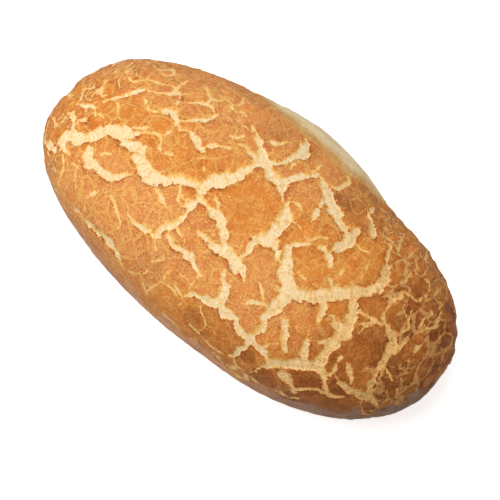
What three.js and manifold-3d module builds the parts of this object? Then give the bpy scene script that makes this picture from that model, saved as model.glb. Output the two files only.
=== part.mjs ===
// A tiger loaf: one freestanding oval loaf of white bread, baked on a flat tray.
// Rice paste was spread over its top before baking. The crumb rose and tore the paste crust into plates,
// so wide cracks run between the plates. The loaf is a single solid with the cracks cut into its crust.
// Units are millimetres. X runs along the loaf, Y across it, Z up, and the tray is the plane Z = 0.
import * as THREE from "three";
import { ParametricGeometry } from "three/addons/geometries/ParametricGeometry.js";
import { mergeVertices } from "three/addons/utils/BufferGeometryUtils.js";
import Module from "manifold-3d";

const wasm = await Module();
wasm.setup();

// Driving dimensions of the loaf
const LENGTH = 286;
const WIDTH = 146;
const HEIGHT = 94;
const WAIST_HEIGHT = 37; // the widest level of the sides
const TRAY_CUT = 21; // how much of the round underside the tray flattens away
const CRUST_DEPTH = 1.7; // thickness of the paste crust, and so the depth of a full crack

// Fullness of the rounded forms: 2 is an ellipse, more is squarer
const PLAN_SPREAD = 2.12;
const PLAN_BLUNTNESS = 2.44;
const CROWN_SPREAD = 2.3;
const CROWN_BLUNTNESS = 2.3;
const DOME_FULLNESS = 2.3;
const UNDERSIDE_FULLNESS = 2.4;

// The loaf isn't quite straight: its axis lies off the middle of its box, bows and winds a little
const AXIS_OFFSET = -2.8;
const AXIS_BOW = -1.2;
const AXIS_WIND = -6.4;

// Where the sides swell or fall in: height of the swelling, its place along the loaf, and its reach
const FAR_SWELLINGS = [
  { rise: 7, at: -4, reach: 43 },
  { rise: -2.4, at: 61, reach: 20 },
];
const NEAR_SWELLINGS = [{ rise: -1.3, at: 12, reach: 36 }];

// The widest cracks over the top of the loaf, each as a path of [along, across from the axis, crack width]
const TOP_CRACKS = {
  leftShoulder: [[-118, -33, 2], [-112, -26.5, 7], [-103, -25, 8], [-93, -13, 9], [-77, -6, 1.5]],
  leftShoulderFork: [[-88, -14, 5], [-72, -13, 5.5], [-65, -15.5, 1]],
  leftHollow: [[-97, -27.5, 2], [-92, -34, 7], [-73, -36, 4.5], [-63, -28.5, 2]],
  longCrown: [[-69, -19.5, 3], [-57, -23, 9.5], [-42, -17, 6.5], [-28, -11.5, 4]],
  crownBend: [[-24, -12, 6], [-22, -4.5, 8.5], [-13.5, 6, 8], [-9, 27, 5]],
  crownTail: [[-22.5, -13, 5], [-21.5, -28, 3], [-28.5, -47, 2.5]],
  farFork: [[-9, 25, 5], [7, 20, 7], [18, 10.5, 1.5]],
  farForkUpper: [[8.5, 21, 5], [22, 39.5, 1.5]],
  farRidge: [[-2, 26, 2.5], [1.8, 37, 3], [4.5, 48, 6.5], [-4, 62, 2]],
  middleSlant: [[-20, -17.5, 3.5], [-9, -18.5, 6.5], [6, -29, 2]],
  middleDrop: [[20, 15, 2], [25.5, 4, 7.5], [25.5, -12, 4.5]],
  nearLens: [[-9, -33, 1], [13, -32.8, 7.3], [30, -39, 1]],
  nearArch: [[-23, -43.5, 1], [-9, -45.8, 4.3], [7, -50.5, 1]],
  nearDrop: [[16.5, -41, 1.5], [24, -50, 6.5], [24.5, -57, 5]],
  nearRim: [[5, -63, 1.5], [32, -57.8, 4.7], [68, -60.8, 2]],
  rightCrest: [[26, 38, 1.5], [35, 33.5, 6], [60, 19.5, 5]],
  rightCrestDrop: [[60.5, 26, 3], [61, 16, 5.5], [57, 5, 4], [62.5, -2.5, 1.5]],
  rightSlant: [[45, 0.5, 1.5], [38, -7.5, 3], [50, -27.5, 7.5], [50.5, -47, 3]],
  rightSweep: [[53, -29, 6], [66, -24, 5.5], [74, -12.5, 6.5], [90, 7, 5.5], [82, 26, 2.5]],
  rightFall: [[83.5, -4, 5], [91.5, -22, 6], [91, -45, 5]],
  rightRim: [[68, -60.5, 1.5], [82, -53.5, 5], [98, -49.5, 2]],
  rightEnd: [[101.5, 6, 1.5], [104, -5, 3], [116, -14, 3.5], [119, -38, 3.2], [106, -43.5, 2]],
  leftEnd: [[-109.5, 0, 1.5], [-97.5, 16.5, 3.2], [-83, 24.5, 1.8], [-70, 35, 1]],
};

// Finer cracks run down the sides and out to the ends, at uneven places within these stretches of crust.
// Angles go round a cross-section in degrees: the far side is 0, the crown 90 and the near side 180.
const SIDE_CRACKS = {
  near: { count: 7, from: -102, to: 112, top: 158, bottom: 200, width: 2.6 },
  farLeft: { count: 3, from: -106, to: -62, top: 28, bottom: -12, width: 2.2 },
  farRight: { count: 3, from: 72, to: 110, top: 28, bottom: -12, width: 2.2 },
};
const END_CRACKS = { count: 5, firstAngle: 15, lastAngle: 165, from: 120, to: 137, width: 2.2 };
const STRAY = 22; // how far along the loaf a side crack may stray on its way down
const TWIST = 16; // how far round the end an end crack may turn, in degrees
const UNEVENNESS = 0.3; // share of a side crack's drop by which its ends differ from crack to crack
const TEAR_SEED = 90210; // picks one way of tearing

// Fineness of the faceted solid
const STATIONS = 46; // rings along the loaf
const DOME_STEPS = 34; // facets over the top of a ring
const SIDE_STEPS = 4; // facets from the waist to the tray, on each side
const BASE_STEPS = 4; // facets across the tray face
const CRACK_STEP = 5; // length of a crack's facets
const CRACK_LIFT = 2.5; // how far a crack's cutter stands out of the crust
const RAGGEDNESS = 0.28; // share of a crack's width by which its edges wander
const FLOOR_SHARE = 0.8; // a crack's floor is narrower than its mouth
const STEEPEST_EDGE = 80; // how far under the ends the side facets reach, in degrees

const halfTurn = Math.PI;
const radians = (degrees) => (degrees * Math.PI) / 180;
const signedPower = (base, power) => Math.sign(base) * Math.abs(base) ** power;

// Superellipse profile: 1 in the middle of the loaf, 0 at its ends.
function taper(t, spread, bluntness) {
  return Math.max(0, 1 - Math.abs(t) ** spread) ** (1 / bluntness);
}

function swelling(x, swellings) {
  const hump = ({ rise, at, reach }) => rise * Math.exp(-(((x - at) / reach) ** 2));
  return swellings.reduce((sum, one) => sum + hump(one), 0);
}

// The sizes of the cross-section at x: its axis, its reach to each side, and its share of the full height.
function sectionAt(x) {
  const t = THREE.MathUtils.clamp((2 * x) / LENGTH, -1, 1);
  const plan = taper(t, PLAN_SPREAD, PLAN_BLUNTNESS);
  return {
    axis: AXIS_OFFSET + (AXIS_BOW + AXIS_WIND * t) * (1 - t * t),
    far: plan * (WIDTH / 2 + swelling(x, FAR_SWELLINGS)),
    near: plan * (WIDTH / 2 + swelling(x, NEAR_SWELLINGS)),
    height: taper(t, CROWN_SPREAD, CROWN_BLUNTNESS),
  };
}

// A point of the smooth crust: x along the loaf and an angle round the cross-section.
function crustPoint(x, angle) {
  const { axis, far, near, height } = sectionAt(x);
  const above = Math.sin(angle) >= 0;
  const power = 2 / (above ? DOME_FULLNESS : UNDERSIDE_FULLNESS);
  const across = signedPower(Math.cos(angle), power);
  const rise = Math.abs(Math.sin(angle)) ** power;
  const reach = above ? HEIGHT - WAIST_HEIGHT : -(WAIST_HEIGHT + TRAY_CUT);
  const y = axis + across * (across > 0 ? far : near);
  return new THREE.Vector3(x, y, Math.max(0, WAIST_HEIGHT + reach * height * rise));
}

function crustNormal(x, angle) {
  const step = 0.01;
  const along = crustPoint(x + step, angle).sub(crustPoint(x - step, angle));
  const round = crustPoint(x, angle + step).sub(crustPoint(x, angle - step));
  return round.cross(along).normalize();
}

// The angle of the top crust that lies over a place in plan, with y counted from the loaf's axis.
function angleOver(x, y) {
  const { axis, far, near } = sectionAt(x);
  const off = y + AXIS_OFFSET - axis;
  const across = THREE.MathUtils.clamp(off / (off > 0 ? far : near), -1, 1);
  return Math.acos(signedPower(across, DOME_FULLNESS / 2));
}

// The angle below the waist where a cross-section meets the tray, or nearly straight down at the ends.
function trayAngle(x) {
  const depth = (WAIST_HEIGHT + TRAY_CUT) * sectionAt(x).height;
  const sine = Math.min(1, (WAIST_HEIGHT / depth) ** (UNDERSIDE_FULLNESS / 2));
  return Math.min(Math.asin(sine), radians(STEEPEST_EDGE));
}

// The angle of corner i of a ring: over the dome, down the near side, across the tray, up the far side.
function ringAngle(x, i) {
  const edge = trayAngle(x);
  const runs = [
    { steps: DOME_STEPS, start: 0, end: halfTurn },
    { steps: SIDE_STEPS, start: halfTurn, end: halfTurn + edge },
    { steps: BASE_STEPS, start: halfTurn + edge, end: 2 * halfTurn - edge },
    { steps: SIDE_STEPS, start: 2 * halfTurn - edge, end: 2 * halfTurn },
  ];
  let left = i;
  for (const { steps, start, end } of runs) {
    if (left <= steps) return start + ((end - start) * left) / steps;
    left -= steps;
  }
  return 2 * halfTurn;
}

// A solid from a surface that closes on itself. Its seam and poles are merged, and faces that vanish there
// are dropped.
function closedSolid(pointAt, aroundSteps, alongSteps) {
  const place = (u, v, target) => target.copy(pointAt(u, v));
  const surface = new ParametricGeometry(place, aroundSteps, alongSteps);
  surface.deleteAttribute("normal");
  surface.deleteAttribute("uv");
  const merged = mergeVertices(surface, 1e-3);
  const corners = merged.index.array;
  const triVerts = [];
  for (let i = 0; i < corners.length; i += 3) {
    const [a, b, c] = corners.subarray(i, i + 3);
    if (a !== b && b !== c && c !== a) triVerts.push(a, b, c);
  }
  const vertProperties = merged.attributes.position.array;
  const mesh = new wasm.Mesh({ numProp: 3, vertProperties, triVerts: Uint32Array.from(triVerts) });
  return new wasm.Manifold(mesh);
}

function smoothLoaf() {
  const ringCorners = DOME_STEPS + 2 * SIDE_STEPS + BASE_STEPS;
  return closedSolid(
    (u, v) => {
      const x = (LENGTH / 2) * Math.sin(halfTurn * (v - 0.5));
      return crustPoint(x, ringAngle(x, Math.round(u * ringCorners)));
    },
    ringCorners,
    STATIONS,
  );
}

// Repeatable draws from 0 to 1, so that every build tears the crust alike.
function seededDraws(seed) {
  const multiplier = 16807;
  const modulus = 2147483647;
  let state = seed;
  return () => {
    state = (state * multiplier) % modulus;
    return state / modulus;
  };
}

// The cutter of one crack: a ragged trapezium carried along a path of (x, angle, width), with pointed ends.
function crackCutter(path, draw) {
  const stops = path.map((stop) => new THREE.Vector3(...stop));
  const curve = new THREE.CatmullRomCurve3(stops, false, "centripetal");
  const length = path.slice(1).reduce((sum, [x, angle], i) => {
    return sum + crustPoint(x, angle).distanceTo(crustPoint(path[i][0], path[i][1]));
  }, 0);
  const steps = Math.max(3, Math.round(length / CRACK_STEP));
  const rows = Array.from({ length: steps + 1 }, (_, i) => {
    const here = curve.getPoint(i / steps);
    const ahead = curve.getPoint(Math.min(1, (i + 0.5) / steps));
    const behind = curve.getPoint(Math.max(0, (i - 0.5) / steps));
    const centre = crustPoint(here.x, here.y);
    const normal = crustNormal(here.x, here.y);
    const heading = crustPoint(ahead.x, ahead.y).sub(crustPoint(behind.x, behind.y));
    const side = normal.clone().cross(heading).normalize();
    const tip = i === 0 || i === steps;
    const edges = [1, -1].map((sign) => (tip ? 0 : sign * here.z * (0.5 + RAGGEDNESS * (draw() - 0.5))));
    return { centre, normal, side, edges, depth: tip ? 0 : CRUST_DEPTH, lift: tip ? 0 : CRACK_LIFT };
  });
  return closedSolid(
    (u, v) => {
      const { centre, normal, side, edges, depth, lift } = rows[Math.round(v * steps)];
      const [left, right] = edges;
      const [offset, height] = [
        [left * FLOOR_SHARE, -depth],
        [left, lift],
        [right, lift],
        [right * FLOOR_SHARE, -depth],
      ][Math.round(u * 4) % 4];
      return centre.clone().addScaledVector(side, offset).addScaledVector(normal, height);
    },
    4,
    steps,
  );
}

function topPaths() {
  const onCrust = ([x, y, width]) => [x, angleOver(x, y), width];
  return Object.values(TOP_CRACKS).map((points) => points.map(onCrust));
}

// Side cracks lie a step apart along the loaf. Each has its own start and end height and bends on its way.
function sidePaths(draw) {
  return Object.values(SIDE_CRACKS).flatMap(({ count, from, to, top, bottom, width }) => {
    const step = (to - from) / count;
    return Array.from({ length: count }, (_, i) => {
      const x = from + step * (i + draw());
      const drop = bottom - top;
      const start = top + UNEVENNESS * drop * draw();
      const end = bottom - UNEVENNESS * drop * draw();
      const middle = (start + end) / 2;
      const bend = STRAY * (draw() - 0.5);
      const stray = STRAY * (draw() - 0.5);
      return [
        [x, radians(start), width],
        [x + bend, radians(middle), width * (0.7 + 0.6 * draw())],
        [x + stray, radians(end), width / 2],
      ];
    });
  });
}

// End cracks run out towards both noses, a step apart round the end and turning a little on their way.
function endPaths(draw) {
  const { count, firstAngle, lastAngle, from, to, width } = END_CRACKS;
  const step = (lastAngle - firstAngle) / count;
  return [-1, 1].flatMap((end) =>
    Array.from({ length: count }, (_, i) => {
      const angle = firstAngle + step * (i + draw());
      const turn = TWIST * (draw() - 0.5);
      const middle = from + (to - from) * (0.3 + 0.4 * draw());
      return [
        [end * from, radians(angle), width],
        [end * middle, radians(angle + turn), width],
        [end * to, radians(angle), width / 2],
      ];
    }),
  );
}

function crackedLoaf() {
  const draw = seededDraws(TEAR_SEED);
  const paths = [...topPaths(), ...sidePaths(draw), ...endPaths(draw)];
  return paths.reduce((loaf, path) => loaf.subtract(crackCutter(path, draw)), smoothLoaf());
}

function meshOf(solid, name, material) {
  const { vertProperties, triVerts } = solid.getMesh();
  const geometry = new THREE.BufferGeometry();
  geometry.setAttribute("position", new THREE.BufferAttribute(vertProperties, 3));
  geometry.setIndex(new THREE.BufferAttribute(triVerts, 1));
  geometry.computeVertexNormals();
  const mesh = new THREE.Mesh(geometry, material);
  mesh.name = name;
  return mesh;
}

const goldenCrust = new THREE.MeshStandardMaterial({ color: "#d98d48", roughness: 0.62, metalness: 0 });

const tigerLoaf = new THREE.Group();
tigerLoaf.name = "tiger_loaf";
tigerLoaf.add(meshOf(crackedLoaf(), "loaf", goldenCrust));

export default tigerLoaf;
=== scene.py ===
import math

import bpy
import numpy as np
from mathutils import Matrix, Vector


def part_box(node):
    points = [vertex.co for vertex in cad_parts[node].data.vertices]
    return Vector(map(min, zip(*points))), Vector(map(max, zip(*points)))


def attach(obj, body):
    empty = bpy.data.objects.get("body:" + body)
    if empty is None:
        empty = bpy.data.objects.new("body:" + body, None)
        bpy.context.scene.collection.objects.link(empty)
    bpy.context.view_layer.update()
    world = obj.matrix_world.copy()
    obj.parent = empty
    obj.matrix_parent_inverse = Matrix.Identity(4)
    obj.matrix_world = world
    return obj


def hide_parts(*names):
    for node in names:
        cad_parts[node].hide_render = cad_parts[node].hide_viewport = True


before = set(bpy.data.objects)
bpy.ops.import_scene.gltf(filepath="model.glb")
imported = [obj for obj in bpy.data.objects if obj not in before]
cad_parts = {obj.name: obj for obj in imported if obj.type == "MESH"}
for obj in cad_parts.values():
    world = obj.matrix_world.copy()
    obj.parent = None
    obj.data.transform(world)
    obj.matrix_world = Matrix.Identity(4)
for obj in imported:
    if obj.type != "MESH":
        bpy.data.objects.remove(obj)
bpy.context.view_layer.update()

# The loaf
# A freestanding white loaf under a skin of rice paste. The paste dried and tore into plates while the crumb
# below still rose, so cracks of pale torn crumb run between them. It was baked on a tray, on a flat base.

# Sizes of the smooth form, in millimetres
MM = 0.001
loaf_low, loaf_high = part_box("loaf")
LENGTH = (loaf_high.x - loaf_low.x) / MM
HEIGHT = loaf_high.z / MM
WIDTH = 146.0
WAIST_HEIGHT = 37.0
TRAY_CUT = 21.0

# Fullness of the rounded forms: 2 is an ellipse, more is squarer
PLAN_SPREAD, PLAN_BLUNTNESS = 2.12, 2.44
CROWN_SPREAD, CROWN_BLUNTNESS = 2.3, 2.3
DOME_FULLNESS = 2.3
UNDERSIDE_FULLNESS = 2.4

# The axis lies off the middle of the box, bows and winds. The sides swell: (rise, place along, reach)
AXIS_OFFSET, AXIS_BOW, AXIS_WIND = -2.8, -1.2, -6.4
FAR_SWELLINGS = [(7.0, -4.0, 43.0), (-2.4, 61.0, 20.0)]
NEAR_SWELLINGS = [(-1.3, 12.0, 36.0)]


def signed_power(base, power):
    """The power of the size of a number, with the number's sign kept."""
    return np.sign(base) * np.abs(base) ** power


def taper(t, spread, bluntness):
    """Superellipse profile, the bluntness root of 1 - |t| ^ spread: 1 in the middle and 0 at both ends."""
    return np.clip(1 - np.abs(t) ** spread, 0, 1) ** (1 / bluntness)


def swelling(x, humps):
    """Sum of bell curves, each its rise times e to the minus square of (x - place) / reach."""
    return sum(rise * np.exp(-(((x - place) / reach) ** 2)) for rise, place, reach in humps)


def section_at(x):
    """Sizes of the cross-section at x: its axis, its far and near reach, and its share of the height."""
    t = np.clip(2 * x / LENGTH, -1, 1)
    plan = taper(t, PLAN_SPREAD, PLAN_BLUNTNESS)
    axis = AXIS_OFFSET + (AXIS_BOW + AXIS_WIND * t) * (1 - t * t)
    far = plan * (WIDTH / 2 + swelling(x, FAR_SWELLINGS))
    near = plan * (WIDTH / 2 + swelling(x, NEAR_SWELLINGS))
    return axis, far, near, taper(t, CROWN_SPREAD, CROWN_BLUNTNESS)


def crust_point(x, angle):
    """Superellipse rings: across the loaf the signed 2/n power of the angle's cosine times the reach, and up
    or down from the waist the 2/n power of its sine times the height there. The tray cuts it off at 0."""
    axis, far, near, height = section_at(x)
    above = np.sin(angle) >= 0
    power = 2 / np.where(above, DOME_FULLNESS, UNDERSIDE_FULLNESS)
    across = signed_power(np.cos(angle), power)
    rise = np.abs(np.sin(angle)) ** power
    reach = np.where(above, HEIGHT - WAIST_HEIGHT, -(WAIST_HEIGHT + TRAY_CUT))
    y = axis + across * np.where(across > 0, far, near)
    z = np.maximum(0, WAIST_HEIGHT + reach * height * rise)
    return np.stack(np.broadcast_arrays(x, y, z), axis=-1)


def crust_normal(x, angle):
    """Outward normal: the cross product of a small step round the ring and a small step along the loaf."""
    step = 0.01
    along = crust_point(x + step, angle) - crust_point(x - step, angle)
    around = crust_point(x, angle + step) - crust_point(x, angle - step)
    normal = np.cross(around, along)
    return normal / np.maximum(np.linalg.norm(normal, axis=-1, keepdims=True), 1e-12)


def angle_over(x, y):
    """The dome's angle over a place in plan, with y from the middle line that the axis winds about."""
    axis, far, near, _ = section_at(x)
    off = y + AXIS_OFFSET - axis
    across = np.clip(off / np.where(off > 0, far, near), -1, 1)
    return np.arccos(signed_power(across, DOME_FULLNESS / 2))


# Fineness of the crust's grid
ROWS = 330  # rings along the loaf
DOME_COLUMNS = 226  # steps over the top of a ring
SIDE_COLUMNS = 24  # steps from the waist to the tray, on each side
BASE_COLUMNS = 12  # steps across the base
STEEPEST_EDGE = math.radians(80)  # how far under the raised ends the side steps reach
DENSE = 4001  # samples for measuring lengths along a curve


def evenly_along(curve, values, count):
    """The values at count + 1 places spread evenly over the length of a sampled curve."""
    lengths = np.linalg.norm(np.diff(curve, axis=0), axis=1)
    travelled = np.concatenate([[0], np.cumsum(lengths)])
    return np.interp(np.linspace(0, travelled[-1], count + 1), travelled, values)


def ring_stations():
    """Places along the loaf, even over the crown's line from nose to nose."""
    x = LENGTH / 2 * np.sin(np.linspace(-np.pi / 2, np.pi / 2, DENSE))
    return evenly_along(crust_point(x, np.pi / 2), x, ROWS)


def ring_angles(x):
    """Angles round each ring: evenly over the dome, then down the near side, across the base and up again."""
    dense = np.linspace(0, np.pi, DENSE)
    dome = evenly_along(crust_point(0.0, dense), dense, DOME_COLUMNS)[:-1]
    depth = (WAIST_HEIGHT + TRAY_CUT) * section_at(x)[3]
    sine = np.minimum(1, (WAIST_HEIGHT / depth) ** (UNDERSIDE_FULLNESS / 2))
    edge = np.minimum(np.arcsin(sine), STEEPEST_EDGE)[:, None]
    share = np.arange(SIDE_COLUMNS) / SIDE_COLUMNS
    base_share = (1 - np.cos(np.pi * np.arange(BASE_COLUMNS) / BASE_COLUMNS)) / 2
    near = np.pi + edge * share
    base = np.pi + edge + (np.pi - 2 * edge) * base_share
    far = 2 * np.pi - edge * (1 - share)
    return np.concatenate([np.broadcast_to(dome, (len(x), DOME_COLUMNS)), near, base, far], axis=1)


stations = ring_stations()
ring_x = stations[1:-1]
angles = ring_angles(ring_x)
rings = len(ring_x)
columns = angles.shape[1]
grid_x = np.broadcast_to(ring_x[:, None], angles.shape)
noses = crust_point(stations[[0, -1]], np.zeros(2))
smooth = np.concatenate([crust_point(grid_x, angles).reshape(-1, 3), noses])
outward = np.concatenate([crust_normal(grid_x, angles).reshape(-1, 3), [[-1, 0, 0], [1, 0, 0]]])

# Cracks that show on top, read off: (along the loaf, across it from the middle line, width)
LEFT_CRACKS = [
    [(-131, -33, 2), (-122, -36, 4.5), (-113, -38.5, 1)],
    [(-118, -33, 2), (-113, -26.5, 7), (-104, -26, 8), (-99, -21, 7.5), (-94, -13.5, 8.5), (-86, -11, 9.5),
     (-79, -8.5, 5.5), (-77, -5.5, 1.5)],
    [(-88, -14, 6), (-80, -14.5, 5), (-72, -13, 5.5), (-67, -14, 3), (-65, -15.5, 1)],
    [(-116, -31, 4), (-112, -34.5, 3), (-105, -36.5, 1)],
    [(-97, -27.5, 2.5), (-95.5, -31, 6.5), (-91.5, -35, 7), (-85, -35.5, 4.5), (-77, -36, 4.2), (-72, -35.5, 4.5),
     (-68, -32, 4), (-63, -28.5, 2)],
    [(-69, -19.5, 3), (-64, -19.5, 7.5), (-59, -22.5, 9.5), (-52, -23, 9), (-46, -20, 7), (-40, -16, 6),
     (-33, -14, 4.5), (-28, -11.5, 4)],
    [(-109.5, 0, 1.5), (-106, 5.5, 2.2), (-101, 11, 2.8), (-97.5, 16.5, 3.2), (-94, 20.5, 2.2), (-88, 22, 1.5),
     (-83, 24.5, 1.8), (-78, 28, 2), (-73, 32, 1.5), (-70, 35, 1)],
    [(-79, 31, 1.5), (-74, 28.5, 3), (-72.5, 24, 2), (-71, 22, 1)],
    [(-75.5, 12.5, 2), (-73, 16, 4), (-69, 17, 5), (-66, 15, 4), (-63.5, 12.5, 2.5), (-62.5, 9, 1.8),
     (-62.5, 2, 1.5)],
    [(-63, 14.5, 1), (-58, 18, 1.5), (-54, 22, 3), (-50, 26, 3.5), (-49, 30, 2), (-48, 32, 1.5)],
    [(-63, 12.5, 2), (-57, 11, 3), (-54, 12.5, 1.6), (-50, 12, 3), (-46, 10.5, 4), (-40, 8.5, 4), (-38, 8, 2)],
    [(-39, 12, 2), (-36, 14, 2.5), (-33, 16.5, 2), (-29, 18, 1.6), (-24, 20.5, 1.2)],
    [(-67, 28, 1), (-61, 33, 2), (-56, 34.5, 2), (-51.5, 32.5, 1)],
    [(-38, 1.5, 1.5), (-35, 5, 1.3), (-29, 7.5, 0.8)],
    [(-119.5, 10, 1.2), (-117, 5.5, 1.8), (-114, 3.2, 2.2), (-111, 5, 1)],
    [(-124, -8.5, 1.5), (-118, -7.8, 3.2), (-112.5, -6, 3), (-109.5, -8, 1.8), (-106.5, -10.5, 1)],
    [(-125, -15.5, 1.5), (-120, -17, 2.8), (-116, -19.5, 2.5), (-114.5, -24, 2)],
    [(-82, -4.3, 1.5), (-78, -2.3, 2.2), (-74.5, 0.5, 1)], [(-142, -1, 1), (-137, -3.8, 2.2), (-132.5, -5.5, 1)],
    [(-106, -8.5, 1), (-103.5, -8.5, 1.5), (-101, -9, 0.8)],
    [(-109, -38.5, 1.2), (-105.5, -42, 1.5), (-103.8, -45.5, 2), (-103.5, -50, 1)],
    [(-96.5, -37, 1.5), (-95, -42, 1.2), (-91, -47.5, 1), (-85, -50.5, 0.8)],
    [(-73, -43.5, 1), (-76.5, -47.5, 2), (-79.5, -51.5, 1.5), (-77.5, -56, 1.2)],
    [(-86, -57.5, 1.5), (-82, -57.5, 2), (-78, -58.5, 1)],
    [(-74, -60, 2.2), (-66, -60.8, 4.2), (-58, -61.6, 5), (-51, -62.8, 4.6), (-45, -64.4, 3.6), (-41, -66.3, 2)],
]
MIDDLE_CRACKS = [
    [(-24, -12, 6.5), (-22.5, -5, 8.5), (-17, 0.5, 9), (-13.5, 5.5, 8), (-12.5, 11, 5.5), (-10.5, 17, 5),
     (-8, 22, 5), (-9, 27, 5)],
    [(-22.5, -13, 5), (-21.5, -20, 4), (-21.5, -26, 3), (-22, -33, 3), (-23.5, -38, 4), (-27, -42, 3.5),
     (-28.5, -47, 2.5)],
    [(-21.5, -23, 3.5), (-25, -26, 2.5), (-30, -25.5, 1.5), (-33, -21, 2), (-35, -18, 1.5)],
    [(-50, -47, 1.2), (-45, -48.6, 2), (-38, -48.5, 3), (-31, -48.3, 3.4), (-26, -47.5, 2.2)],
    [(-23, -43.5, 1.6), (-17, -46.3, 4.2), (-9, -45.8, 5.4), (-3, -46.8, 4.2), (2, -48.8, 2.8), (7, -50.5, 1.2)],
    [(-20, -17.5, 3.5), (-14, -18, 4), (-9, -18.5, 6.5), (-4, -20, 5.5), (1, -23, 5), (5, -26, 3.5), (6, -30, 2)],
    [(-14, -11, 1), (-11, -13.5, 3), (-7, -17, 4)],
    [(-9, -33, 1), (-3, -33.3, 2.8), (4, -33.3, 6.5), (11, -32.8, 8), (18, -33.4, 7.8), (24, -35.8, 5),
     (30, -39, 1)],
    [(16.5, -41, 1.5), (19, -45, 4), (23, -49, 6), (25, -53, 7), (24.5, -57.5, 6)],
    [(5, -63, 1.5), (9, -60, 2.8), (14, -59, 3.5), (20, -58, 5), (28, -57, 6), (36, -57, 6), (42, -59, 5),
     (48, -60.5, 4), (54, -60, 4), (62, -60.5, 3), (66, -62, 3), (74, -61.5, 4), (82, -62, 4), (88, -62.5, 3)],
    [(20, 15, 2), (21, 9.5, 3), (25.5, 4, 7.5), (26, -1, 6.8), (25.3, -6, 6), (25.5, -12, 5)],
    [(16, -17, 1.5), (20, -15.8, 4.5), (26, -13.5, 6.2), (31, -13.2, 5.6), (35, -15.5, 3.4), (37, -18, 1.2)],
    [(-9, 25, 6), (-3, 24, 4.5), (3, 20.5, 6.5), (9, 19.5, 7), (13.5, 15.5, 4), (18, 10.5, 1.5)],
    [(8.5, 22, 5), (13, 29, 4), (17, 33, 3.5), (20, 37, 3), (21.5, 39.5, 1.6)],
    [(-9, 27, 4.5), (-14, 30, 3.5), (-19, 35, 3.5), (-24, 38, 2.5), (-29, 40.5, 1)],
    [(-11, 23.5, 3), (-17, 24, 3), (-20, 24.5, 1)],
    [(-4, 26, 4), (0, 29, 4), (2, 33, 4), (3, 38, 4.5), (5, 43, 6.5), (5, 48, 7.5), (2, 53, 6), (-1, 58, 4),
     (-4, 62, 2.5)],
]
RIGHT_CRACKS = [
    [(52, -60.5, 3), (48.8, -65.9, 3.4), (46.5, -69.7, 2.6), (38.6, -71.5, 1.6), (31, -72, 1.2)],
    [(46, -69.5, 1.4), (50.8, -71.2, 1.8), (59, -69.8, 2), (63.3, -66.5, 2.4), (66.5, -63.5, 2.6)],
    [(86.7, -62, 2.4), (91.4, -58.7, 1.4), (96.3, -55.9, 1.4), (100.5, -53, 2)],
    [(50.5, -46.5, 2), (53.5, -50, 4), (52.8, -54.5, 4.2), (50.5, -59, 4)],
    [(45, 0.5, 1.5), (41.5, -3, 2.5), (38, -7.5, 3), (40.5, -13, 4.6), (44.5, -19, 8), (49, -24.5, 9),
     (53, -30, 9.5), (53.5, -36, 8), (52, -42, 5.5), (51, -47, 4)],
    [(54, -28, 7), (60, -26, 6), (66, -22.5, 7), (71, -16.5, 8), (75.5, -10.5, 8), (80, -6, 7), (84, -1.5, 6),
     (89, 4, 6), (91, 9, 5.5), (89.5, 15, 5), (86.5, 20, 3.5), (83, 25, 3), (81, 30, 2), (80, 33, 1.5)],
    [(83.5, -4, 5), (86, -9, 7), (89, -14.5, 6.4), (91.5, -20, 5.4), (91.5, -26, 7.2), (91.5, -33, 6.4),
     (90.5, -40, 6), (90.5, -45.5, 6)],
    [(82, -23, 4), (86, -25, 5), (91, -25, 5)],
    [(66, -61.5, 2.6), (74, -58.5, 5), (80, -54.5, 6.2), (86, -50.8, 6), (91, -48.5, 5.6), (98, -49.5, 2.6)],
    [(62, -42, 3), (65, -46, 5), (68, -50, 4), (72, -53, 2.5)],
    [(70.5, -20, 4), (75, -23, 4), (76, -28, 2.5), (77, -32, 1.2)],
    [(76, -38, 1), (78, -42, 3), (80, -47, 4), (83, -50.5, 3)],
    [(27, 37, 3), (32, 34, 7), (36, 31, 7), (40, 28.5, 6.5), (45, 26, 7), (50, 23.5, 6), (56, 21.5, 5),
     (60, 19.5, 6)],
    [(60.5, 27, 3), (60, 22, 6), (61, 17, 6.5), (59, 11, 5), (57.5, 6, 4), (59, 1.5, 3.5), (62.5, -1.5, 2)],
    [(57, 47, 3.5), (58.5, 41, 3), (62, 38, 2), (66, 35, 4), (68.5, 31, 4), (69, 28, 2)],
    [(50.5, 10, 1.5), (47, 7, 1.5), (44, 3, 1), (40, 1, 1)],
    [(33, 30, 2), (35.5, 24, 2.5), (36, 19, 2.5), (37.5, 14, 2), (38, 11, 1)],
    [(98, 8, 2), (101, 8, 2.5), (103.5, 12, 3), (102.5, 15, 2), (106, 17, 2), (110, 17, 2)],
    [(92, 23, 1.2), (97, 22.5, 1.5)],
    [(101.5, 6, 1.5), (101.5, 1, 2), (104, -4.5, 3), (110, -7.5, 3.4), (115.5, -11, 5), (117, -17, 3.6),
     (118, -23, 3), (119, -30, 2.6), (119.5, -36, 2.8), (121, -40.5, 4), (115, -43.5, 4.5), (109, -45, 4),
     (104, -46.5, 2)],
    [(93, -11, 1), (97, -9.8, 1.5), (101, -8.5, 1.5)],
    [(103, -37, 1.6), (106, -38, 3), (109, -40, 2.6), (110.5, -42.5, 1.4)],
    [(120, -23.5, 1.2), (124, -24.5, 2.2), (127, -25.5, 1.2)],
    [(93, -48, 3.5), (97, -50, 3), (102, -53, 3), (106, -52, 2)], [(98, -20, 1.5), (99, -15, 2), (101, -12, 1.5)],
    [(121, 19, 2), (120, 13, 1.5), (121, 7, 1.5)], [(124.5, 25, 1.5), (126, 19, 1.8), (126.5, 16, 1)],
]
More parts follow.
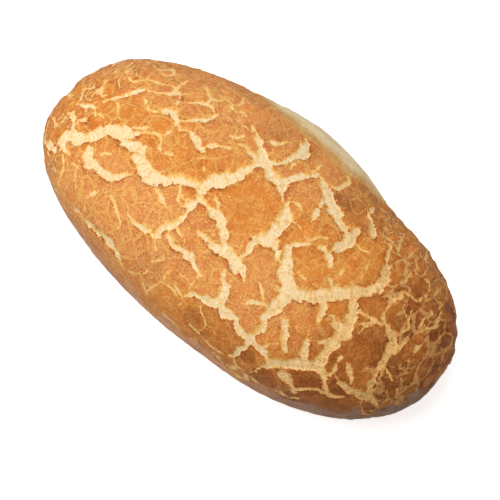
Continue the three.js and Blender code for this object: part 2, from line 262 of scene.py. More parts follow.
# Thin ones between them and at both ends
THIN_CRACKS = [
    [(-128.5, 3, 1.5), (-127, -1, 2), (-124.5, -5, 1.5)], [(-133, -20, 1), (-130, -23, 1.8), (-124, -25, 1)],
    [(-120, -2, 0.8), (-119, 5, 1.4), (-119, 12.5, 1)], [(-134, -5, 0.8), (-133, 0, 1.4), (-133, 4.5, 0.8)],
    [(-116, 2, 0.8), (-117, 5.5, 1.2), (-119, 11, 1.2), (-118, 18, 0.8)],
    [(-110, -50, 1), (-106, -51.5, 1.8), (-98, -54, 1)],
    [(-28, -50, 1), (-24, -53.5, 1.4), (-22, -60, 1.4), (-22, -63, 1.2), (-25, -67, 1)],
    [(-20, -62.8, 1), (-12, -63.8, 1.6), (-5, -63.3, 1.6), (2, -64.8, 1)],
    [(-11, -63, 0.8), (-11, -60.5, 1.2), (-10, -57.5, 0.8)], [(-23, -67.4, 1), (-21, -69.2, 1.4), (-15, -71, 1.2)],
    [(-18, -70.5, 1), (-16, -68, 1.4), (-12, -64.4, 1)], [(-87, -28.5, 1), (-85, -26.5, 1.6), (-82, -25, 1)],
    [(-100, -40, 1), (-96, -39.8, 1.6), (-94, -40.5, 1)],
    [(-75, -4, 1), (-70, -0.5, 1.3), (-64, -0.3, 1.6), (-62, -3, 1.3), (-60, -6, 1)],
    [(-61, -6.5, 1), (-57, -7, 2), (-53, -6, 2), (-51, -4, 1)],
    [(-46, -27, 1), (-41, -28.5, 1.6), (-38, -30.5, 2.2), (-33.5, -31.8, 1.6)],
    [(-32, -21.5, 1), (-28, -22.5, 1.6), (-25, -21, 1)], [(-20, -38.5, 2), (-16, -40, 1.4), (-12, -41, 0.8)],
    [(-19, -51, 1), (-17.5, -55, 1.3), (-21, -58, 1.3), (-22, -61, 0.8)],
    [(-42, -66, 1.6), (-37, -67.8, 1.6), (-32, -67.6, 1.8), (-28, -67, 1.6), (-24.5, -65.3, 1)],
    [(-6, -55.5, 0.8), (-2, -56, 1.2), (4, -56.5, 1)],
    [(-70, 46, 1.2), (-66, 44, 1.5), (-62, 41, 1.5), (-58, 40, 1.6), (-54, 42, 1.4), (-52, 45, 1.6),
     (-47, 44, 1.4), (-45, 41, 2), (-41, 42, 1.6), (-38, 44, 1.6), (-33, 42, 1.6), (-29, 40, 1.6), (-25, 38, 3)],
    [(-46, 54, 1), (-44, 48, 1.4), (-47, 43, 1.2)], [(-59, 39, 1), (-58.5, 36, 1.8), (-57.5, 34, 1)],
    [(-27, 23.5, 1), (-22, 25.5, 1.6), (-18, 24.8, 2)], [(-12, 38, 2), (-8, 40, 2), (-7, 43, 1.5), (-4, 46, 1)],
    [(22.5, -17, 1.6), (20.5, -20, 2.6), (21, -25, 2.6), (20.5, -28, 2), (19, -30, 2)],
    [(38, -47.5, 1.6), (39.5, -45.5, 2.2), (42, -44, 2.6), (45, -42.5, 2), (48, -41.5, 1.6)],
    [(35, -13.5, 2.2), (36.5, -16, 1.6), (38, -18, 1)], [(51, -16, 1), (54, -17, 1.4), (57, -16.5, 1)],
    [(13, -25.5, 1), (15, -26, 1.8), (16.5, -25, 1)], [(7, -50.5, 1), (5.5, -54, 1.6), (5, -58.5, 1.6)],
    [(60, -58, 1.6), (62, -55.5, 1.4), (66, -52.5, 1)],
    [(24, 60, 1), (27, 56.5, 2.2), (30, 55, 2.2), (32, 53, 2), (35, 50.5, 1)],
    [(23, 39, 1.4), (28, 38, 1.4), (34, 39.5, 1.6), (36, 42, 1.6), (36.6, 47, 2), (37, 50, 1.6)],
    [(18, 46, 1), (18.5, 42, 1.6), (17.5, 39, 1.2), (20, 37.5, 1.6)],
    [(20.5, 13.5, 2), (23, 15, 1.8), (27, 15.5, 1.6), (29, 14, 1)], [(27, 5, 3), (31, 5.5, 2.6), (36, 5, 1.2)],
    [(51, 3, 1.6), (55, 4, 3), (58, 2, 3.5)], [(7, 37, 1), (6.5, 33.5, 2), (7.5, 31, 1)],
    [(68, -8, 2.6), (69.5, -4, 1.6), (69.5, 2, 1)], [(92, -20, 3), (96, -25, 3), (99, -27, 2.5)],
    [(37, -34, 1), (42, -38, 1.5), (45, -40, 1.5)],
    [(99, -36, 1.6), (98.5, -40, 2.6), (99.5, -45, 2.2), (97, -48.5, 3)],
    [(99.5, -44.5, 1.6), (104, -45.5, 2), (109, -45, 2)], [(89.5, -33, 3), (86.5, -36, 2.6), (84, -39, 1.6)],
    [(100, -54.5, 2.6), (106, -52, 2.4), (111, -48.5, 1.6)], [(120, -40, 4), (125, -39, 3), (129, -38, 1)],
    [(132, -26, 1.2), (133, -29, 1.6), (132.5, -33, 1)], [(94, 50, 2), (96.5, 46, 2), (97.5, 43, 1.2)],
    [(101, 40, 1.2), (102, 36, 1.2), (106, 33, 1.5), (110, 31, 1.5), (112, 27, 1.5), (112, 22, 1.5), (111, 17, 2)],
    [(91, 47, 1.2), (90.5, 41, 1.4), (91, 36, 1)], [(79, 43.5, 1.2), (81.5, 41, 2), (83, 37.5, 2), (84.5, 34, 1)],
    [(72, 36, 1), (77, 36, 1.4), (82, 35, 1.5)],
    [(99, 34, 1.2), (98, 30, 1), (98.5, 26, 1.5), (98.5, 21, 2), (98, 18, 1.2)],
    [(66, 19, 1), (70, 18.5, 1.5), (73, 20, 1.2)], [(78, 14, 1), (79, 9, 1.5), (80, 4, 1.5)],
    [(112, 12, 1), (114, 6, 1.2), (117, 2, 1.2), (116, -2, 1)],
    [(113, 38, 1), (115, 33, 1.2), (116, 28, 1.2), (120, 28, 1)],
    [(119.5, 37, 1.2), (121.5, 31, 1.6), (122, 26, 1.6)], [(-119, 24.5, 1.2), (-118.5, 21, 1.6), (-115, 19.5, 1.2)],
    [(-116.5, 27, 1.2), (-112, 24, 1.6), (-110.5, 21.5, 1.4), (-111, 17, 1)],
    [(-110, 22.5, 1), (-105, 21, 1.6), (-102, 23.5, 1.4), (-99, 27, 1.4), (-99.5, 31.5, 1.2), (-100, 36, 1)],
    [(-119, 36, 1), (-117, 33, 1.6), (-116.5, 29, 1.2)],
    [(-104, 39, 1.2), (-99, 38, 1.5), (-96, 41, 2), (-92, 44, 2), (-90, 40, 1.6), (-92, 37, 1.4), (-97, 36, 1)],
    [(-117, 27, 1), (-117.5, 37, 1.2), (-113, 41, 1.2), (-108, 40, 1)],
    [(-84, 10, 1.2), (-78, 11, 2), (-75.5, 12.5, 2)],
    [(-79, 45, 1), (-80, 39, 1.4), (-80, 34, 1.4), (-79.5, 29, 1.6)],
    [(-98, 27, 1.2), (-92, 29, 1.5), (-85, 31, 1.4), (-80, 33, 1)],
    [(-90, 15, 1), (-87, 13, 1.6), (-84.5, 11.5, 1.2), (-82, 9.5, 1.6), (-83.5, 5.5, 1.6), (-85, 3.5, 1)],
    [(-103.5, 5, 1), (-100, 2, 1.5), (-97, -1.5, 1.4)], [(-129, 2, 1.2), (-125.5, 4, 1.6), (-122, 5, 1)],
    [(-121.5, 15, 1), (-119.5, 12, 1.6), (-118.5, 9, 1)], [(-41, 34.5, 1.2), (-40, 30, 1.2)],
    [(-33, 25.5, 1.4), (-29.5, 27, 1.6), (-27, 30.5, 1)], [(-35, 34, 1), (-31, 36.5, 1.4), (-28, 36, 1)],
    [(-34, 2.5, 1), (-32, 0, 1.4), (-29.5, -2.5, 1)],
    [(-73, -43.5, 1.2), (-66, -44.3, 1), (-61, -46.5, 1.4), (-55, -50, 1.3), (-51, -53, 1.3), (-51.5, -57, 1)],
    [(-3, -61.5, 1), (2, -63, 1.4), (5, -64.5, 1.4), (4, -69, 1)],
    [(15.5, -61.5, 1), (18, -64, 1.4), (24, -67, 1), (21, -71, 1)],
    [(15, -70.7, 1.2), (21.5, -71.1, 1.5), (26.6, -71.7, 1.5), (31, -72, 1.4)],
    [(-113, -17, 1.2), (-111, -16.3, 2.8), (-109.5, -15.8, 1)],
    [(94.5, -17.5, 1.4), (98, -13.8, 1.8), (102, -9.3, 1.8), (108, -6.6, 1.8)],
    [(119.3, -14.3, 2), (120, -10, 1.8), (120, -4.2, 1.8), (120, -0.3, 1.2)],
    [(127.4, -5.7, 1.2), (127, -2.5, 1.8), (127.4, 1.8, 1.6), (127.4, 6.6, 1)],
    [(124, 9.7, 1.2), (126.4, 13.5, 1.6), (128.4, 18.9, 1)], [(107.3, 10, 1.2), (109, 6.8, 1.6), (113, 5.6, 1.2)],
]

# Cracks down the sides and out to the ends come by rule. Angles are degrees round a ring from the far side.
SIDE_CRACKS = [
    {"count": 7, "start": -102, "stop": 112, "top": 158, "bottom": 200, "width": 2.6},
    {"count": 3, "start": -106, "stop": -62, "top": 28, "bottom": -12, "width": 2.2},
    {"count": 3, "start": 72, "stop": 110, "top": 28, "bottom": -12, "width": 2.2},
]
END_CRACKS = {"count": 5, "first": 15, "last": 165, "start": 120, "stop": 137, "width": 2.2}
STRAY = 22  # how far along the loaf a side crack may stray
TWIST = 16  # how far round the end an end crack may turn
UNEVENNESS = 0.3  # share of a side crack's drop by which its ends differ
TEAR_SEED = 90210


def repeatable_draws(seed):
    """Draws from 0 to 1 by repeated multiplication in whole numbers."""
    multiplier = 16807
    modulus = 2147483647
    state = seed
    while True:
        state = state * multiplier % modulus
        yield state / modulus


draws = repeatable_draws(TEAR_SEED)


def side_stops(count, start, stop, top, bottom, width):
    """Paths down one stretch of a side: a step apart, each with its own ends and a bend on its way."""
    step = (stop - start) / count
    drop = bottom - top
    for i in range(count):
        x = start + step * (i + next(draws))
        high = top + UNEVENNESS * drop * next(draws)
        low = bottom - UNEVENNESS * drop * next(draws)
        sway = STRAY * (next(draws) - 0.5)
        stray = STRAY * (next(draws) - 0.5)
        middle_width = width * (0.7 + 0.6 * next(draws))
        yield [
            (x, math.radians(high), width),
            (x + sway, math.radians((high + low) / 2), middle_width),
            (x + stray, math.radians(low), width / 2),
        ]


def end_stops(end, count, first, last, start, stop, width):
    """Paths out to one nose: a step apart round the end, each turning a little on its way."""
    step = (last - first) / count
    for i in range(count):
        angle = first + step * (i + next(draws))
        turn = TWIST * (next(draws) - 0.5)
        middle = start + (stop - start) * (0.3 + 0.4 * next(draws))
        yield [
            (end * start, math.radians(angle), width),
            (end * middle, math.radians(angle + turn), width),
            (end * stop, math.radians(angle), width / 2),
        ]


SAMPLES_PER_STOP = 12
LEAST_WIDTH = 0.3


def crack_line(stops):
    """A Catmull-Rom curve through a crack's stops of place, angle and width, taken to points on the crust.
    Gives the points, half the width at each, and the way travelled along the crack."""
    stops = np.array(stops, float)
    padded = np.concatenate([2 * stops[:1] - stops[1:2], stops, 2 * stops[-1:] - stops[-2:-1]])
    before, here, after, beyond = padded[:-3], padded[1:-2], padded[2:-1], padded[3:]
    t = np.linspace(0, 1, SAMPLES_PER_STOP, endpoint=False)[:, None, None]
    curve = here + t / 2 * (after - before)
    curve = curve + t**2 / 2 * (2 * before - 5 * here + 4 * after - beyond)
    curve = curve + t**3 / 2 * (3 * here - before - 3 * after + beyond)
    curve = np.concatenate([curve.transpose(1, 0, 2).reshape(-1, 3), stops[-1:]])
    points = crust_point(curve[:, 0], curve[:, 1])
    steps = np.linalg.norm(np.diff(points, axis=0), axis=1)
    return points, np.maximum(curve[:, 2], LEAST_WIDTH) / 2, np.concatenate([[0], np.cumsum(steps)])


top_stops = [
    [(x, float(angle_over(x, y)), width) for x, y, width in crack]
    for crack in LEFT_CRACKS + MIDDLE_CRACKS + RIGHT_CRACKS + THIN_CRACKS
]
rule_stops = [stops for rule in SIDE_CRACKS for stops in side_stops(**rule)]
rule_stops += [stops for end in (-1, 1) for stops in end_stops(end, **END_CRACKS)]
top_lines = [crack_line(stops) for stops in top_stops]
side_lines = [crack_line(stops) for stops in rule_stops]

CRACK_REACH = 14.0  # how far from a crack its distance is still measured
LEAST_DISTANCE = 0.3  # nearer to a crack's middle, a point is on neither side
LEE = np.array([0.80, -0.42, -0.43])  # the way from the light side of a crack to its shaded side


def nearest_crack(points, lines):
    """For each point the least of its distance to a crack's samples less the half width there, so that it is
    below 0 in a crack. Also how much farther the next crack is, the way along the nearest one, its half
    width, and the side of it that the point is on."""
    gap = np.full(len(points), CRACK_REACH)
    next_gap = np.full(len(points), CRACK_REACH)
    way = np.zeros(len(points))
    half = np.ones(len(points))
    side = np.zeros(len(points))
    start = 0.0
    for samples, half_widths, travelled in lines:
        low, high = samples.min(0) - CRACK_REACH, samples.max(0) + CRACK_REACH
        ahead = np.gradient(samples, axis=0)
        ahead /= np.maximum(np.linalg.norm(ahead, axis=1, keepdims=True), 1e-9)
        close = np.flatnonzero(((points > low) & (points < high)).all(axis=1))
        apart = points[close, None] - samples[None]
        distance = np.linalg.norm(apart, axis=2)
        best = (distance - half_widths).argmin(axis=1)
        rows = np.arange(len(close))
        value = distance[rows, best] - half_widths[best]
        next_gap[close] = np.minimum(next_gap[close], np.maximum(gap[close], value))
        better = value < gap[close]
        chosen, pick, row = close[better], best[better], rows[better]
        gap[chosen] = value[better]
        way[chosen] = start + travelled[pick] + (apart[row, pick] * ahead[pick]).sum(axis=1)
        half[chosen] = half_widths[pick]
        side[chosen] = apart[row, pick] @ LEE / np.maximum(distance[row, pick], LEAST_DISTANCE)
        start += travelled[-1] + CRACK_REACH
    return gap, next_gap - gap, way, half, side


LATTICE_FACTORS = np.array([374761393, 668265263, 1440670441])
SEED_FACTOR, FIRST_STIR, SECOND_STIR = 974634721, 1274126177, 739982445
LATTICE_MASK = 0xFFFFFFFF


def lattice_draw(cell, seed):
    """A repeatable draw from -1 to 1 for each lattice point: its coordinates are folded into one whole
    number, and the bits of that number are stirred."""
    folded = ((cell * LATTICE_FACTORS).sum(axis=-1) + seed * SEED_FACTOR) & LATTICE_MASK
    stirred = ((folded ^ (folded >> 13)) * FIRST_STIR) & LATTICE_MASK
    stirred = ((stirred ^ (stirred >> 15)) * SECOND_STIR) & LATTICE_MASK
    return (stirred ^ (stirred >> 16)) / (LATTICE_MASK / 2) - 1


def smooth_noise(points, grain, seed):
    """Draws at the corners of cubes of the given size, blended inside each cube by 3t^2 - 2t^3."""
    scaled = points / grain
    cell = np.floor(scaled).astype(np.int64)
    share = scaled - cell
    blend = share * share * (3 - 2 * share)
    total = np.zeros(len(points))
    for corner in np.ndindex(2, 2, 2):
        weight = np.where(corner, blend, 1 - blend).prod(axis=1)
        total += weight * lattice_draw(cell + np.array(corner), seed)
    return total


SEED_SCATTER = 0.45  # how far a seed may lie from the middle of its cube


def plate_cells(points, grain, seed):
    """Plates round scattered seeds, one in each cube of the given size: half the difference of the distances
    to the two nearest seeds, which is about the distance to the plate's border, and a draw for the plate."""
    scaled = points / grain
    cell = np.floor(scaled).astype(np.int64)
    first = np.full(len(points), np.inf)
    second = np.full(len(points), np.inf)
    draw = np.zeros(len(points))
    for corner in np.ndindex(3, 3, 3):
        cube = cell + np.array(corner) - 1
        scatter = np.stack([lattice_draw(cube, seed + axis) for axis in range(3)], axis=1)
        distance = np.linalg.norm(scaled - cube - 0.5 - SEED_SCATTER * scatter, axis=1)
        draw = np.where(distance < first, lattice_draw(cube, seed + 3), draw)
        second = np.minimum(second, np.maximum(first, distance))
        first = np.minimum(first, distance)
    return (second - first) / 2 * grain, draw


def ease(value, low, high):
    """0 below low, 1 above high, and 3t^2 - 2t^3 between them. With low above high it runs the other way."""
    t = np.clip((value - low) / (high - low), 0, 1)
    return t * t * (3 - 2 * t)


# Where the paste lies: it ends low on the far side and left end, and higher on the near side and right end.
# The far side was pressed to a neighbour and stayed pale. A layer of noise is (height, size, seed).
PASTE_EDGE, HIGH_PASTE_EDGE = 24, 42  # heights at which the paste ends
RIGHT_RISE = 5  # how much higher still it ends round the right end
PASTE_WANDER, PASTE_BITE, PASTE_SOFTNESS = 5, 2.5, 1.5
TONGUE, TONGUE_WIDTH, TONGUE_SEED = 10, 6, 17  # tongues of paste run down so far
CONTOUR_RADIUS = 70  # of the circle that the way round the loaf is measured on
PALE_CENTRE = (5, 30)  # along the loaf and up
PALE_REACH = (65, 46)
PALE_EDGE, PALE_SOFTNESS = 1.45, 0.7  # in squared shares of the reach
PALE_WANDER, LOW_PALE_WANDER = 0.11, 0.24
WANDER = [(1, 16, 3), (0.5, 6, 4)]
BITE, BITE_SEED = 5.5, 5  # size of the pieces broken out of the edges of the paste


def layered_noise(points, layers):
    """Sum of the layers, each its height times smooth noise of its size and seed."""
    return sum(height * smooth_noise(points, size, seed) for height, size, seed in layers)


loaf_x, loaf_y, loaf_z = smooth.T
facing_x, facing_y, _ = outward.T
bites = plate_cells(smooth, BITE, BITE_SEED)[1]
wander = layered_noise(smooth, WANDER)
far_side = ease(facing_y, 0.2, 0.4)
right_side = ease(facing_x, 0.5, 0.85) * ease(loaf_y, 10, -20)
high_edge = np.maximum(ease(-facing_y, 0.4, 0.9), right_side)
contour = np.arctan2(loaf_y, loaf_x * WIDTH / LENGTH)
circle = CONTOUR_RADIUS * np.stack([np.cos(contour), np.sin(contour), np.zeros(len(smooth))], axis=1)
tongues = TONGUE * ease(smooth_noise(circle, TONGUE_WIDTH, TONGUE_SEED), 0, 0.7)
right_rise = RIGHT_RISE * ease(loaf_x, 78, 104)
paste_edge = PASTE_EDGE + (HIGH_PASTE_EDGE - PASTE_EDGE + right_rise) * high_edge - tongues
paste_height = loaf_z + PASTE_WANDER * wander + PASTE_BITE * bites
paste = ease(paste_height, paste_edge - PASTE_SOFTNESS, paste_edge + PASTE_SOFTNESS)
pale_x = (loaf_x - PALE_CENTRE[0]) / PALE_REACH[0]
pale_z = (loaf_z - PALE_CENTRE[1]) / PALE_REACH[1]
pale_wander = PALE_WANDER + LOW_PALE_WANDER * ease(loaf_z, 62, 46)
pale = (PALE_EDGE - pale_x**2 - pale_z**2 - pale_wander * wander) / PALE_SOFTNESS
pale = far_side * np.clip(pale, 0, 1)
bare = np.maximum(ease(pale, 0.2, 0.5), 1 - paste)

# The tears: cracks with wandering edges, and on the sides more of them round scattered plates. None opens
# where the crust is bare.
RAGGED_BITE = 0.9
RAGGED = [(0.6, 2.3, 6)]
RAGGED_SHARE, RAGGED_LIMITS = 0.65, (0.25, 1.3)  # of a crack's half width
SIDE_PLATE, SIDE_PLATE_SEED = 19, 11
SIDE_BEND, SIDE_BEND_SIZE, SIDE_BEND_SEEDS = 4, 11, (7, 8, 9)
SIDE_WIDTH = 0.2
SIDE_WIDTHS = [(1.1, 26, 10)]
SIDE_RAGGED = 0.5
SIDE_CLOSED, BARE_CLOSED = 8, 9  # how far off the tears are moved above the sides and on bare crust

gap, lone, way, half, side = nearest_crack(smooth, top_lines)
low_gap, _, low_way, low_half, low_side = nearest_crack(smooth, side_lines)
ragged = RAGGED_BITE * bites + layered_noise(smooth, RAGGED)
calm_gap = gap
gap = gap + np.clip(RAGGED_SHARE * half, *RAGGED_LIMITS) * ragged
bends = [smooth_noise(smooth, SIDE_BEND_SIZE, seed) for seed in SIDE_BEND_SEEDS]
bent = smooth + SIDE_BEND * np.stack(bends, axis=1)
side_width = SIDE_WIDTH + layered_noise(smooth, SIDE_WIDTHS)
side_gap = plate_cells(bent, SIDE_PLATE, SIDE_PLATE_SEED)[0] - side_width
low_gap = np.minimum(low_gap, side_gap) + SIDE_RAGGED * ragged + SIDE_CLOSED * ease(loaf_z, 44, 56)
lower = low_gap < gap
closed = BARE_CLOSED * ease(bare, 0.25, 0.7)
tear = np.where(lower, low_gap, gap) + closed
calm = np.where(lower, low_gap, calm_gap) + closed
way = np.where(lower, low_way, way)
side = np.where(lower, low_side, side)
half = np.where(lower, low_half, half)

# Browning: most at the right end, a little at both edges, and in spots: (along, across, reach, strength)
RIGHT_BROWNING, FAR_BROWNING, NEAR_BROWNING = 0.68, 0.2, 0.24
BROWNING_SLANT = 0.3
SPOT_WANDER = 0.15
BROWNED_SPOTS = [
    (52, 42, 18, 0.35), (44, 36, 8, 0.7), (-15, 45, 12, 0.2), (106, -27, 16, 0.6), (90, -59, 16, 0.7),
    (112, -52, 14, 0.8), (130, -22, 18, 0.7), (68, -68, 10, 0.75), (20, -68, 12, 0.4), (-22, -62, 10, 0.3),
    (54, -66, 6, 0.7), (92, -57, 9, 0.95), (95, -43, 10, 0.75), (107, -47, 8, 0.9), (86, -68, 12, 0.9),
]


def crust_place(x, y):
    """The point of the smooth crust over a place in plan, with y counted from the middle line."""
    return crust_point(np.float64(x), angle_over(np.float64(x), y))


right_edge = ease(loaf_x - BROWNING_SLANT * loaf_y, 70, 122)
far_edge = ease(loaf_x, 40, 70) * ease(loaf_y, 34, 46)
near_edge = ease(loaf_x, 0, 30) * ease(-loaf_y, 58, 68)
browned = np.maximum.reduce([RIGHT_BROWNING * right_edge, FAR_BROWNING * far_edge, NEAR_BROWNING * near_edge])
for x, y, reach, strength in BROWNED_SPOTS:
    off = np.linalg.norm(smooth - crust_place(x, y), axis=1) / reach
    browned = np.maximum(browned, strength * ease(off + SPOT_WANDER * wander, 1.15, 0.75))

# Where the plates are crazed by finer cracks: both ends, and the far side towards them
FAR_LEFT_SHARE = 0.8
across_now = loaf_y - AXIS_OFFSET
left_craze = ease(-loaf_x, 94, 118)
far_left_craze = FAR_LEFT_SHARE * ease(across_now, 24, 40) * ease(-loaf_x, 12, 40)
far_right_craze = ease(loaf_x, 72, 92) * ease(across_now, -4, 10)
far_edge_craze = ease(loaf_x, 46, 60) * ease(across_now, 26, 36)
right_craze = ease(loaf_x, 104, 126)
crazed = np.maximum.reduce([left_craze, far_left_craze, far_right_craze, far_edge_craze, right_craze])

# The relief: cracks sink below the plates. The plate on a crack's lit side slopes into it, and the one on its
# shaded side breaks off at a lip. Crack floors puff up, plates are lumpy, and crazed ones are craggy.
FLOOR_DEPTH, FLOOR_PUFF = 1.3, 0.5
LIP, LIP_PLACE, LIP_REACH = 0.35, 1.4, 0.9  # its height, and its place and reach from the edge
LUMPS = [(0.9, 34, 12), (0.45, 13, 13)]
PIMPLES = [(0.16, 3.6, 14), (0.1, 1.9, 15)]
CRAG_BITE = 0.45
CRAGS = [(0.6, 5, 16)]

lee = ease(side, -0.35, 0.55)
broken = ease(tear, 0.6, -0.5)
sloped = ease((tear + calm) / 2, 2.6, -2.8)
sunk = lee * broken + (1 - lee) * sloped
puff = FLOOR_PUFF * ease(calm, -0.6, -3.5)
lip = lee * LIP * ease(half, 0.8, 2.4) * np.exp(-(((tear - LIP_PLACE) / LIP_REACH) ** 2))
lumps = layered_noise(smooth, LUMPS)
pimples = layered_noise(smooth, PIMPLES)
depth = FLOOR_DEPTH * np.clip((half - 0.5) / 2, 0.1, 1)
crags = crazed * (CRAG_BITE * bites + layered_noise(smooth, CRAGS))
relief = lumps + pimples + crags + lip - depth * sunk + puff
on_tray = ease(loaf_z, 12, 1)
relief = relief * (1 - on_tray)
crust = smooth + outward * relief[:, None]
crust[:, 2] = np.maximum(crust[:, 2], 0)
crust[:, 2] *= HEIGHT / crust[:, 2].max()

# The mesh: quads between the rings, and a fan of triangles round each nose
corner = np.arange(rings * columns).reshape(rings, columns)
turned = np.roll(corner, -1, axis=1)
quads = np.stack([corner[:-1], turned[:-1], turned[1:], corner[1:]], axis=-1).reshape(-1, 4)
left_nose, right_nose = rings * columns, rings * columns + 1
left_fan = np.stack([np.full(columns, left_nose), turned[0], corner[0]], axis=-1)
right_fan = np.stack([corner[-1], turned[-1], np.full(columns, right_nose)], axis=-1)
fans = np.concatenate([left_fan, right_fan])


def grid_mesh(name, points, quads, triangles):
    """A mesh of quads and triangles put in as whole arrays."""
    mesh = bpy.data.meshes.new(name)
    loops = np.concatenate([quads.ravel(), triangles.ravel()])
    totals = np.concatenate([np.full(len(quads), 4), np.full(len(triangles), 3)])
    mesh.vertices.add(len(points))
    mesh.vertices.foreach_set("co", points.ravel())
    mesh.loops.add(len(loops))
    mesh.loops.foreach_set("vertex_index", loops)
    mesh.polygons.add(len(totals))
    mesh.polygons.foreach_set("loop_start", np.concatenate([[0], np.cumsum(totals)[:-1]]))
    mesh.polygons.foreach_set("use_smooth", np.ones(len(totals), bool))
    mesh.update(calc_edges=True)
    mesh.validate()
    return mesh


# Painted sheen: a pale pinkish tint standing for the gloss that reflects the white room, along the far side and in
# ovals
# on the near side: (along, across, both reaches, strength)
PAINTED_SHEEN_OVALS = [(-58, -50, 76, 34, 1), (28, -40, 62, 26, 0.8)]
FAR_PAINTED_SHEEN, FAR_PAINTED_SHEEN_WANDER = 0.9, 5
painted_sheen = FAR_PAINTED_SHEEN * (ease(across_now + FAR_PAINTED_SHEEN_WANDER * wander, 4, 24) * ease(loaf_x, 70, 20))
for x, y, reach_x, reach_y, strength in PAINTED_SHEEN_OVALS:
    off = np.hypot((loaf_x - x) / reach_x, (across_now - y) / reach_y)
    painted_sheen = np.maximum(painted_sheen, strength * ease(off + SPOT_WANDER * wander, 1.15, 0.45))

# Thin veins show least in the middle of the crown and low on the near side
UNVEINED = 0.7
UNVEINED_PLACE, UNVEINED_REACH, UNVEINED_WIDTH = 15, 40, 24
crown_off = ((loaf_x - UNVEINED_PLACE) / UNVEINED_REACH) ** 2 + (across_now / UNVEINED_WIDTH) ** 2
veined = 1 - UNVEINED * np.exp(-crown_off)
veined = veined * (1 - UNVEINED * ease(-across_now, 46, 58) * ease(loaf_x, -45, -10))


def round_the_loaf(squeeze):
    """Places on a cylinder round the loaf, squeezed in height so that marks are drawn out along it."""
    return (circle + np.outer(squeeze * loaf_z, [0, 0, 1])) * MM


# What the material reads at each point of the mesh
loaf_mesh = grid_mesh("loaf", crust * MM, quads, fans)
marks = {
    "tear": tear,
    "way": way,
    "lee": lee,
    "bite": np.clip(0.3 + 0.32 * half, 0.4, 1.1),
    "lone": ease(lone, 0.2, 2) * (1 - lower),
    "bare": bare,
    "pale": pale,
    "under": ease(loaf_z, 3, 0.5),
    "browned": browned,
    "crazed": crazed,
    "painted_sheen": painted_sheen,
    "veined": veined,
    "grain": round_the_loaf(2.4),
    "rim_lines": round_the_loaf(1.7),
}
for name, values in marks.items():
    kind, field = ("FLOAT", "value") if values.ndim == 1 else ("FLOAT_VECTOR", "vector")
    attribute = loaf_mesh.attributes.new(name, kind, "POINT")
    attribute.data.foreach_set(field, values.astype(np.float32).ravel())


def srgb(red, green, blue):
    """A colour as it looks on a screen, 0 to 255, as the light that it stands for."""
    parts = np.array([red, green, blue]) / 255
    light = np.where(parts <= 0.04045, parts / 12.92, ((parts + 0.055) / 1.055) ** 2.4)
    return (*light.tolist(), 1.0)


class Socket:
    """An output socket of a material's node tree. Arithmetic on it adds Math nodes."""

    def __init__(self, tree, output):
        self.tree = tree
        self.output = output

    def node(self, kind, settings, inputs, output=0):
        """Adds any node: first its settings, then the values or links of its sockets. Wraps one output."""
        node = self.tree.nodes.new(kind)
        for name, value in settings.items():
            setattr(node, name, value)
        for name, value in inputs.items():
            if isinstance(value, Socket):
                self.tree.links.new(value.output, node.inputs[name])
            else:
                node.inputs[name].default_value = value
        return Socket(self.tree, node.outputs[output])

    def math(self, operation, first, second):
        """Math of two values, of which either may be a number."""
        return self.node("ShaderNodeMath", {"operation": operation}, {0: first, 1: second})

    def __add__(self, other):
        return self.math("ADD", self, other)

    __radd__ = __add__

    def __sub__(self, other):
        return self.math("SUBTRACT", self, other)

    def __rsub__(self, other):
        return self.math("SUBTRACT", other, self)

    def __mul__(self, other):
        return self.math("MULTIPLY", self, other)

    __rmul__ = __mul__

    def larger(self, other):
        """The larger of this and another value."""
        return self.math("MAXIMUM", self, other)

    def part(self, channel):
        """The red, green or blue of this colour."""
        return self.node("ShaderNodeSeparateColor", {}, {0: self}, channel)

    def vector(self, operation, other, output=0):
        """Vector Math of this vector and another."""
        return self.node("ShaderNodeVectorMath", {"operation": operation}, {0: self, 1: other}, output)

    def ease(self, low, high):
        """0 at low, 1 at high, and an even S-curve between them."""
        ends = {"Value": self, "From Min": low, "From Max": high}
        return self.node("ShaderNodeMapRange", {"interpolation_type": "SMOOTHSTEP"}, ends)

    def between(self, first, second):
        """The first colour where this is 0, the second where it is 1."""
        return self.node("ShaderNodeMix", {"data_type": "RGBA"}, {0: self, 6: first, 7: second}, 2)

    def noise(self, size, detail=2.0, roughness=0.5):
        """Soft noise from 0 to 1 over this place, with blots of about the given size in millimetres."""
        inputs = {"Vector": self, "Scale": 1 / (size * MM), "Detail": detail, "Roughness": roughness}
        return self.node("ShaderNodeTexNoise", {}, inputs)


# Colours of the crust
GOLDEN = srgb(221, 129, 41)
BROWN = srgb(200, 100, 26)
UMBER = srgb(130, 65, 19)
REDDISH = srgb(206, 104, 34)
RUSSET = srgb(158, 70, 18)
AMBER = srgb(243, 184, 96)
# Painted sheen: a pale tint standing for the gloss that reflects the room
SHEEN_PAINT = srgb(242, 186, 134)
EMBER = srgb(206, 121, 52)
HONEY = srgb(245, 190, 100)
PALE_LINE = srgb(253, 214, 146)
CREAM = srgb(248, 222, 174)
TOASTED = srgb(247, 199, 125)
TAN = srgb(222, 161, 90)
PORE = srgb(160, 100, 48)
BARE_BROWN = srgb(240, 172, 122)
BARE_FLECK = srgb(244, 196, 146)
BARE_DARK = srgb(182, 114, 66)
LOW_GOLD = srgb(236, 172, 106)
TRAY_EDGE = srgb(140, 84, 44)
BURNT = srgb(118, 78, 52)
ASHEN = srgb(176, 132, 102)
OLIVE = srgb(220, 166, 88)
KISSED = srgb(255, 231, 184)
PALE_SKIN = srgb(250, 211, 146)
TRAY_BROWN = srgb(160, 100, 54)
# Painted shade inside the pinholes
HOLE_SHADE = srgb(70, 40, 22)

baked_crust = bpy.data.materials.new("baked_crust")
baked_crust.use_nodes = True
tree = baked_crust.node_tree
shader = tree.nodes["Principled BSDF"]
place = Socket(tree, tree.nodes.new("ShaderNodeTexCoord").outputs["Object"])


def mark(name, output="Fac"):
    """A value stored at the mesh's points."""
    return place.node("ShaderNodeAttribute", {"attribute_name": name}, {}, output)


